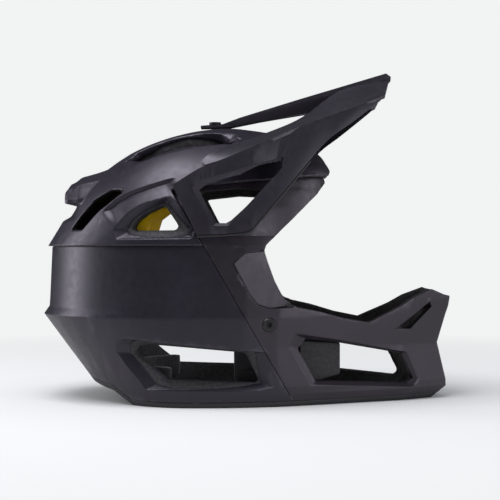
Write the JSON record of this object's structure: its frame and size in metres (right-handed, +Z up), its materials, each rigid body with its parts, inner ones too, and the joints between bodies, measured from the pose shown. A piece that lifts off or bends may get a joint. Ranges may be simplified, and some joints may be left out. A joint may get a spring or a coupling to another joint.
{
  "type": "downhill bike full face helmet",
  "caption": "Full face bike helmet with a vented chin bar, a tilting visor, foam liners, pads, a dial fit cradle and a chin strap.",
  "frame": {"origin": "bottom centre of the bounding box", "axes": "+X forward over the chin bar, +Z up, the helmet stands on its lower edge"},
  "size_m": [0.372, 0.2418, 0.2978],
  "materials": {
    "shell": "satin moulded shell",
    "face": "satin moulded shell",
    "visor": "satin moulded plastic",
    "trim": "soft matt edging",
    "foam": "moulded bead foam",
    "liner": "smooth thin sheet",
    "anchor": "soft",
    "pad": "brushed knit",
    "screw": "black coated",
    "hardware": "fine grained",
    "bush": "smooth",
    "dial": "soft grip",
    "webbing": "woven webbing",
    "rivet": "dull",
    "release": "smooth"
  },
  "bodies": {
    "helmet": {"crown_shell": "shell", "rear_shell": "shell", "front_shell": "face", "lower_trim": "trim", "crown_foam": "foam", "rear_foam": "foam", "chin_foam": "foam", "slip_liner": "liner", "liner_anchors": "anchor", "crown_pads": "pad", "brow_pad": "pad", "cheek_pad_right": "pad", "cheek_pad_left": "pad", "neck_roll": "pad", "cheek_screws": "screw", "pivot_bushes": "bush", "cradle_guides": "bush", "strap_right": "webbing", "strap_left": "webbing", "strap_pad_right": "pad", "strap_pad_left": "pad", "strap_rivets": "rivet", "buckle_base": "hardware", "buckle_tongue": "hardware"},
    "visor": {"visor": "visor", "visor_pivots": "hardware", "visor_tab_screw": "screw"},
    "cradle": {"fit_cradle": "hardware", "dial_housing": "hardware"},
    "dial": {"fit_dial": "dial"},
    "release": {"buckle_release": "release"}
  },
  "joints": [
    {"name": "visor_tilt", "type": "hinge", "parent": "helmet", "child": "visor", "pos_m": [-0.0365, 0, 0.1545], "axis": [0, -1, 0], "range_deg": [0, 14]},
    {"name": "cradle_slide", "type": "slide", "parent": "helmet", "child": "cradle", "axis": [1, 0, 0], "range_m": [0, 0.008]},
    {"name": "dial_turn", "type": "hinge", "parent": "cradle", "child": "dial", "pos_m": [-0.155, 0, 0.084], "axis": [-1, 0, 0], "range_deg": [0, 270]},
    {"name": "buckle_press", "type": "slide", "parent": "helmet", "child": "release", "axis": [1, 0, 0], "range_m": [0, 0.003]}
  ],
  "couplings": [
    {"joint": "dial_turn", "follows": "cradle_slide", "rad_per_m": 588.46}
  ]
}
